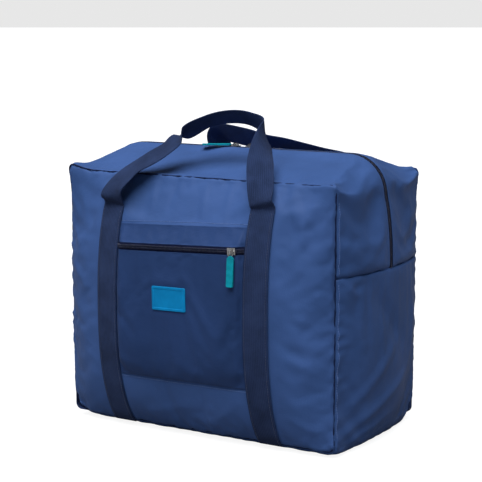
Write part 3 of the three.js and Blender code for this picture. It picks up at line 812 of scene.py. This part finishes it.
def webbing_band(name, centre, face, width, thickness, material):
    """A flat woven band with rounded selvedges along a centre line, and a UV map in metres."""
    tangent = np.gradient(centre, axis=0)
    across = np.cross(tangent, face)
    across /= np.linalg.norm(across, axis=1, keepdims=True)
    normal = np.cross(across, tangent)
    normal /= np.linalg.norm(normal, axis=1, keepdims=True)
    half = width / 2
    bead = thickness / 2
    offsets = [-half + bead, -half / 2, 0.0, half / 2, half - bead]
    section = [(u, bead) for u in offsets]
    section += [(half - 0.3 * bead, 0.7 * bead), (half, 0), (half - 0.3 * bead, -0.7 * bead)]
    section += [(u, -bead) for u in reversed(offsets)]
    section += [(-half + 0.3 * bead, -0.7 * bead), (-half, 0), (-half + 0.3 * bead, 0.7 * bead)]
    ring = len(section)
    length = np.concatenate([[0], np.cumsum(np.linalg.norm(np.diff(centre, axis=0), axis=1))])
    points = []
    for c, a, n in zip(centre, across, normal):
        points += [c + a * u + n * v for u, v in section]
    faces = []
    rows = len(centre)
    for i in range(rows - 1):
        for j in range(ring):
            k = (j + 1) % ring
            faces.append((i * ring + j, i * ring + k, (i + 1) * ring + k, (i + 1) * ring + j))
    faces.append(tuple(range(ring)))
    faces.append(tuple(reversed(range((rows - 1) * ring, rows * ring))))
    obj = new_object(name, points, faces, material)
    uv = obj.data.uv_layers.new(name="UVMap")
    for loop in obj.data.loops:
        row, column = divmod(loop.vertex_index, ring)
        uv.data[loop.index].uv = (section[column][0], length[row])
    fix_normals(obj)
    return obj


def handle(side, arch, body, nodes):
    """One length of webbing: up a leg, over the arch and down the other leg."""
    left = strap_route(-1, side)
    right = strap_route(1, side)
    free = [(np.array(p) * MM, np.array(f, float) / np.linalg.norm(f)) for p, f in arch]
    centre, face = smooth_route([*left, *free, *reversed(right)], 4 * MM)
    obj = webbing_band(f"webbing_{body}", centre, face, WEBBING_WIDTH, WEBBING, WEB)
    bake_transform(obj)
    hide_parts(*nodes)
    return obj


# ---- Stitches ------------------------------------------------------------------------------------------
def stitches(name, path, normals, material, body="bag", pitch=4 * MM, radius=0.42 * MM):
    """A row of separate stitches that lie on a line of points."""
    path = np.asarray(path)
    steps = np.linalg.norm(np.diff(path, axis=0), axis=1)
    length = np.concatenate([[0], np.cumsum(steps)])
    spots = np.arange(pitch / 2, length[-1] - pitch / 2, pitch)
    points = []
    faces = []
    ring = 6
    shares = [(-0.5, 0.25), (-0.36, 0.8), (0, 1.0), (0.36, 0.8), (0.5, 0.25)]
    for spot in spots:
        at = np.array([np.interp(spot, length, path[:, k]) for k in range(3)])
        ahead = np.array([np.interp(spot + 0.5 * MM, length, path[:, k]) for k in range(3)])
        up = np.array([np.interp(spot, length, normals[:, k]) for k in range(3)])
        along = (ahead - at) / max(np.linalg.norm(ahead - at), 1e-9)
        aside = np.cross(along, up)
        base = len(points)
        for share, size in shares:
            middle = at + along * share * pitch * 0.78 + up * radius * 0.35 * size
            for k in range(ring):
                angle = 2 * math.pi * k / ring
                offset = aside * math.cos(angle) + up * math.sin(angle)
                points.append(middle + offset * radius * size)
        for i in range(len(shares) - 1):
            for k in range(ring):
                n = (k + 1) % ring
                here = base + i * ring
                beyond = here + ring
                faces.append((here + k, here + n, beyond + n, beyond + k))
        faces.append(tuple(base + k for k in reversed(range(ring))))
        faces.append(tuple(base + (len(shares) - 1) * ring + k for k in range(ring)))
    obj = new_object(name, points, faces, material)
    fix_normals(obj)
    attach(obj, body)
    return obj


def on_surface(tree, starts, direction, lift):
    """Drops a line of points onto a mesh along a direction, and gives the points and normals there."""
    points = []
    normals = []
    direction = Vector(direction)
    for start in starts:
        place, normal, _, _ = tree.ray_cast(Vector(start) - direction * 0.3, direction)
        if place is None:
            continue
        if normal.dot(direction) > 0:
            normal = -normal
        points.append(place + normal * lift)
        normals.append(normal)
    return np.array(points), np.array(normals)


def tree_of(obj):
    graph = bpy.context.evaluated_depsgraph_get()
    return BVHTree.FromObject(obj, graph)


def seam_stitches(front, sides):
    """Top stitching: along the strap edges, beside the right front seam and round the pocket."""
    inset = 3 * MM
    for side, label in ((-1, "front"), (1, "rear")):
        rows = []
        for sign in (-1, 1):
            for u in (-1, 1):
                x = sign * STRAP_X + u * (WEBBING_WIDTH / 2 - inset)
                zs = np.linspace(SEAM_LOW + 4 * MM, STRAP_TOP_Z - 6 * MM, 60)
                rows.append(on_panel(x, zs, FABRIC + CLEARANCE + 2 * WEBBING * 0.72 + 0.6 * MM, side))
        for number, row in enumerate(rows):
            up = np.tile([0, side, 0], (len(row), 1)).astype(float)
            stitches(f"strap_stitch_{label}_{number}", row, up, THREAD)
    for number, (side_piece, z_low, z_high) in enumerate(sides):
        starts = [(0.3, -HALF_DEPTH + 4.2 * MM, z) for z in np.linspace(z_low, z_high, 70)]
        row, up = on_surface(tree_of(side_piece), starts, (-1, 0, 0), 0.15 * MM)
        stitches(f"side_stitch_{number}", row, up, BLUE_THREAD, pitch=3.6 * MM, radius=0.4 * MM)
    tree = tree_of(front)
    rows = [(POCKET_BOTTOM - 4 * MM, "pocket_bottom_stitch"), (POCKET_TOP + 3.5 * MM, "pocket_top_stitch")]
    for z, name in rows:
        xs = np.linspace(-POCKET_HALF, POCKET_HALF, 60)
        starts = [(x, -0.3, z + float(skewed(np.array(x), np.array(z)))) for x in xs]
        row, up = on_surface(tree, starts, (0, 1, 0), 0.2 * MM)
        stitches(name, row, up, BLUE_THREAD, pitch=3.4 * MM, radius=0.35 * MM)


# ---- Front pocket ------------------------------------------------------------------------------------
def pocket_piece(name, node, z_low, z_high, seed, material):
    xs = lines(-POCKET_HALF, POCKET_HALF, 6 * MM)
    zs = lines(z_low, z_high, 6 * MM)
    z, x = np.meshgrid(zs, xs, indexing="ij")
    x, z = x.ravel(), z.ravel()
    points = on_panel(x, z, FABRIC + pocket_lift(x, z) + 1.2 * MM)
    obj = new_object(name, points, grid_faces(len(zs), len(xs)), material)
    face_outwards(obj)
    edge = np.minimum.reduce([POCKET_HALF - np.abs(x), z - z_low, z_high - z])
    near_label = (x > label_low.x - 4 * MM) & (x < label_high.x + 4 * MM)
    near_label &= (z > label_low.z - 4 * MM) & (z < label_high.z + 4 * MM)
    held = np.where((edge < 1 * MM) | near_label, 1.0, 0.0)
    settle(obj, held, slack=0.01, pressure=0.6, cap=2.5 * MM, hold=0.12)
    refine(obj)
    points = mesh_points(obj)
    x = points[:, 0]
    z = points[:, 2] - skewed(x, points[:, 2])
    edge = np.maximum(np.minimum.reduce([POCKET_HALF - np.abs(x), z - z_low, z_high - z]), 0)
    free = ease(edge, 8 * MM)
    free *= 1 - ease(-np.maximum(label_low.x - x, x - label_high.x) + 6 * MM, 6 * MM) * ease(
        -np.maximum(label_low.z - z, z - label_high.z) + 6 * MM, 6 * MM)
    amount = pucker(points, edge, 16 * MM, 1.6 * MM, seed)
    amount = (amount + 0.8 * MM * rough(points, 60 * MM, seed + 1)) * free
    push(obj, amount)
    thicken(obj, 0.8 * MM)
    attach(obj, "bag")
    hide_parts(node)
    return obj


def label():
    """A moulded patch: rounded edge, a raised border and a slightly sunken field."""
    centre = (label_low + label_high) / 2
    width = label_high.x - label_low.x
    height = label_high.z - label_low.z - math.tan(SKEW / 2) * width
    body = bmesh.new()
    profile = [(0.0, 0.0), (0.0, 1.1), (0.5, 1.5), (3.4, 1.5), (3.8, 1.05), (4.3, 1.0)]
    rings = []
    for inset, rise in profile:
        ring = []
        radius = max(2.4 - inset, 0.6) * MM
        half = (width / 2 - inset * MM, height / 2 - inset * MM)
        for cx, cz, first in ((1, 1, 0), (-1, 1, 90), (-1, -1, 180), (1, -1, 270)):
            for k in range(5):
                angle = math.radians(first + k * 22.5)
                px = cx * (half[0] - radius) + radius * math.cos(angle)
                pz = cz * (half[1] - radius) + radius * math.sin(angle)
                ring.append(body.verts.new((px, -rise * MM, pz)))
        rings.append(ring)
    for outer, inner in zip(rings, rings[1:]):
        for k in range(len(outer)):
            n = (k + 1) % len(outer)
            body.faces.new((outer[k], outer[n], inner[n], inner[k]))
    body.faces.new(rings[-1])
    body.faces.new(list(reversed(rings[0])))
    bmesh.ops.recalc_face_normals(body, faces=body.faces)
    mesh = bpy.data.meshes.new("label")
    body.to_mesh(mesh)
    body.free()
    mesh.materials.append(RUBBER)
    obj = bpy.data.objects.new("label", mesh)
    bpy.context.scene.collection.objects.link(obj)
    obj.location = (centre.x, label_high.y, centre.z)
    obj.rotation_euler = (0, -SKEW / 2, 0)
    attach(obj, "bag")
    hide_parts("label_patch")
    return obj


def seam_outline(inset, step):
    """The closed outline of the front and back seams, and the way out of the bag at each point."""
    points = []
    outward = []
    corners = [(1, 1, 0), (-1, 1, 90), (-1, -1, 180), (1, -1, 270)]
    arc = 7
    for cx, cz, first in corners:
        for k in range(arc + 1):
            angle = math.radians(first + 90 * k / arc)
            out = np.array([math.cos(angle), 0, math.sin(angle)])
            middle = np.array([cx * (HALF_WIDTH - SEAM_RADIUS), 0, MIDDLE_Z + cz * (HALF_SEAM - SEAM_RADIUS)])
            points.append(middle + out * (SEAM_RADIUS - inset))
            outward.append(out)
    points.append(points[0])
    outward.append(outward[0])
    points, outward = np.array(points), np.array(outward)
    length = np.concatenate([[0], np.cumsum(np.linalg.norm(np.diff(points, axis=0), axis=1))])
    spots = np.linspace(0, length[-1], round(length[-1] / step), endpoint=False)

    def at(values):
        return np.stack([np.interp(spots, length, values[:, k]) for k in range(3)], -1)

    return at(points), at(outward)


def seam_cord(name, side, seed):
    """The turned-in seam edge that fills the groove between a panel and the gussets, coloured near black as
    painted shade of the groove.
    """
    path, outward = seam_outline(2.3 * MM, 2.2 * MM)
    path[:, 1] = side * (HALF_DEPTH + CLEARANCE / 2)
    wobble = rough(path, 9 * MM, seed, 2)
    path[:, 1] += 0.8 * MM * rough(path, 14 * MM, seed + 1, 2)
    radius = (1.15 + 0.45 * wobble) * MM
    ring = 6
    points = []
    across = np.array([0.0, 1.0, 0.0])
    for centre, out, size in zip(path, outward, radius):
        for k in range(ring):
            angle = 2 * math.pi * k / ring
            points.append(centre + size * (out * math.cos(angle) + across * math.sin(angle)))
    faces = []
    rows = len(path)
    for i in range(rows):
        n = (i + 1) % rows
        for k in range(ring):
            m = (k + 1) % ring
            faces.append((i * ring + k, i * ring + m, n * ring + m, n * ring + k))
    obj = new_object(name, drive_corners(points), faces, SEAM_EDGE_PAINTED_SHADE)
    fix_normals(obj)
    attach(obj, "bag")
    return obj


# ---- Zips ----------------------------------------------------------------------------------------------
def coil(name, node, path, aside, up, radius, width):
    """A nylon coil: one strand that winds along the zip as a flat helix."""
    steps = np.concatenate([[0], np.cumsum(np.linalg.norm(np.diff(path, axis=0), axis=1))])
    pitch = 1.5 * MM
    per_turn = 8
    count = int(steps[-1] / pitch * per_turn)
    spots = np.linspace(0, steps[-1], count)

    def at(values):
        return np.stack([np.interp(spots, steps, values[:, k]) for k in range(3)], -1)

    angle = 2 * math.pi * np.arange(count) / per_turn
    across = (width / 2 * np.cos(angle))[:, None]
    height = (radius * np.sin(angle))[:, None]
    strand = at(path) + at(aside) * across + at(up) * height
    curve = bpy.data.curves.new(name, "CURVE")
    curve.dimensions = "3D"
    curve.bevel_depth = 0.42 * MM
    curve.bevel_resolution = 0
    curve.use_fill_caps = True
    spline = curve.splines.new("POLY")
    spline.points.add(len(strand) - 1)
    spline.points.foreach_set("co", np.concatenate([strand, np.ones((len(strand), 1))], 1).ravel())
    obj = bpy.data.objects.new(name, curve)
    bpy.context.scene.collection.objects.link(obj)
    graph = bpy.context.evaluated_depsgraph_get()
    mesh = bpy.data.meshes.new_from_object(obj.evaluated_get(graph))
    bpy.data.objects.remove(obj)
    piece = bpy.data.objects.new(name, mesh)
    bpy.context.scene.collection.objects.link(piece)
    mesh.materials.clear()
    mesh.materials.append(COIL)
    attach(piece, "bag")
    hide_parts(node)
    return piece


def top_zip():
    stations = gusset_outline(True, 5 * MM)
    for end, side in (("front", -1), ("rear", 1)):
        middle = on_gusset(stations, [side * 1.7 * MM], 0.7 * MM, True)[:, 0]
        outward = np.stack([stations[:, 4], np.zeros(len(stations)), stations[:, 5]], -1)
        aside = np.tile([0.0, float(side), 0.0], (len(stations), 1))
        coil(f"top_coil_{end}", f"top_zip_coil_{end}", middle, aside, outward, 0.75 * MM, 2.3 * MM)


def pocket_zip():
    """Its coils run level across the pocket and dip under the straps at their ends."""
    for end, sign in (("lower", -1), ("upper", 1)):
        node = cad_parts[f"pocket_zip_coil_{end}"]
        co = np.array([tuple(v.co) for v in node.data.vertices])
        xs = np.linspace(-POCKET_HALF, POCKET_HALF, 60)
        order = sorted({round(float(x), 5) for x in co[:, 0]})
        middle = np.array([co[np.abs(co[:, 0] - x) < 1e-5].mean(0) for x in order])
        ys = np.interp(xs, middle[:, 0], middle[:, 1])
        zs = np.interp(xs, middle[:, 0], middle[:, 2])
        path = np.stack([xs, ys, zs], -1)
        aside = np.tile([0.0, 0.0, float(sign)], (len(xs), 1))
        up = np.tile([0.0, -1.0, 0.0], (len(xs), 1))
        coil(f"pocket_coil_{end}", f"pocket_zip_coil_{end}", path, aside, up, 0.75 * MM, 2.3 * MM)


TAB_NARROWING = 0.84
TAB_RISE = 2.4 * MM


def pocket_tab():
    """A folded ribbon, looped up round the bar of the link, with soft edges."""
    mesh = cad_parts["pocket_pull_tab"].data.copy()
    obj = bpy.data.objects.new("pocket_ribbon", mesh)
    bpy.context.scene.collection.objects.link(obj)
    points = mesh_points(obj)
    middle = (points.min(0) + points.max(0)) / 2
    points[:, 0] = middle[0] + (points[:, 0] - middle[0]) * TAB_NARROWING
    points[:, 2] += TAB_RISE
    set_points(obj, points)
    bevel = obj.modifiers.new("edges", "BEVEL")
    bevel.width = 0.5 * MM
    bevel.segments = 3
    apply_modifiers(obj)
    obj.data.materials.clear()
    obj.data.materials.append(RIBBON)
    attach(obj, "pocket_tab")
    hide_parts("pocket_pull_tab")


def finish_cad_nodes():
    """The CAD nodes that stay get their real materials."""
    for name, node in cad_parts.items():
        material = None
        if "_zip_tape_" in name:
            material = TAPE
        elif name.startswith("seam_binding"):
            material = BINDING
        elif name.endswith("_slider") or name.endswith("_link"):
            material = NICKEL
        elif name.endswith("_tab"):
            material = RIBBON
        if material:
            node.data.materials.clear()
            node.data.materials.append(material)


# ---- The whole bag -------------------------------------------------------------------------------------
stage()
finish_cad_nodes()
front = panel("front", -1, 1, FRONT_FOLDS)
back = panel("back", 1, 2, BACK_FOLDS)
seam_cord("seam_edge_front", -1, 21)
seam_cord("seam_edge_rear", 1, 22)
for piece, node in ((front, "front_panel"), (back, "back_panel")):
    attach(piece, "bag")
    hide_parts(node)
crown = gusset("crown_front", ["top_gusset_front"], True, -HALF_DEPTH, -ZIP_SLIT, 3, [])
crown_rear = gusset("crown_rear", ["top_gusset_rear"], True, ZIP_SLIT, HALF_DEPTH, 4, [])
base = gusset("base_and_sides", ["lower_gusset"], False, -HALF_DEPTH, HALF_DEPTH, 5, SIDE_FOLDS)
pocket = pocket_piece("pocket", "pocket_panel", POCKET_BOTTOM, POCKET_ZIP - 5.5 * MM, 8, POCKET_NYLON_SHADED)
pocket_band = pocket_piece("pocket_band", "pocket_top_band", POCKET_ZIP + 5.5 * MM, POCKET_TOP, 9, BAND_NYLON_SHADED)
label()
pocket_tab()
top_zip()
pocket_zip()
handle(-1, FRONT_ARCH, "handle_front", ["strap_front_left", "strap_front_right", "handle_front"])
handle(1, REAR_ARCH, "handle_rear", ["strap_rear_left", "strap_rear_right", "handle_rear"])
side_rows = [(crown, SIDE_SEAM_Z + 6 * MM, SEAM_TOP - 22 * MM), (base, 30 * MM, SIDE_SEAM_Z - 8 * MM)]
seam_stitches(front, side_rows)
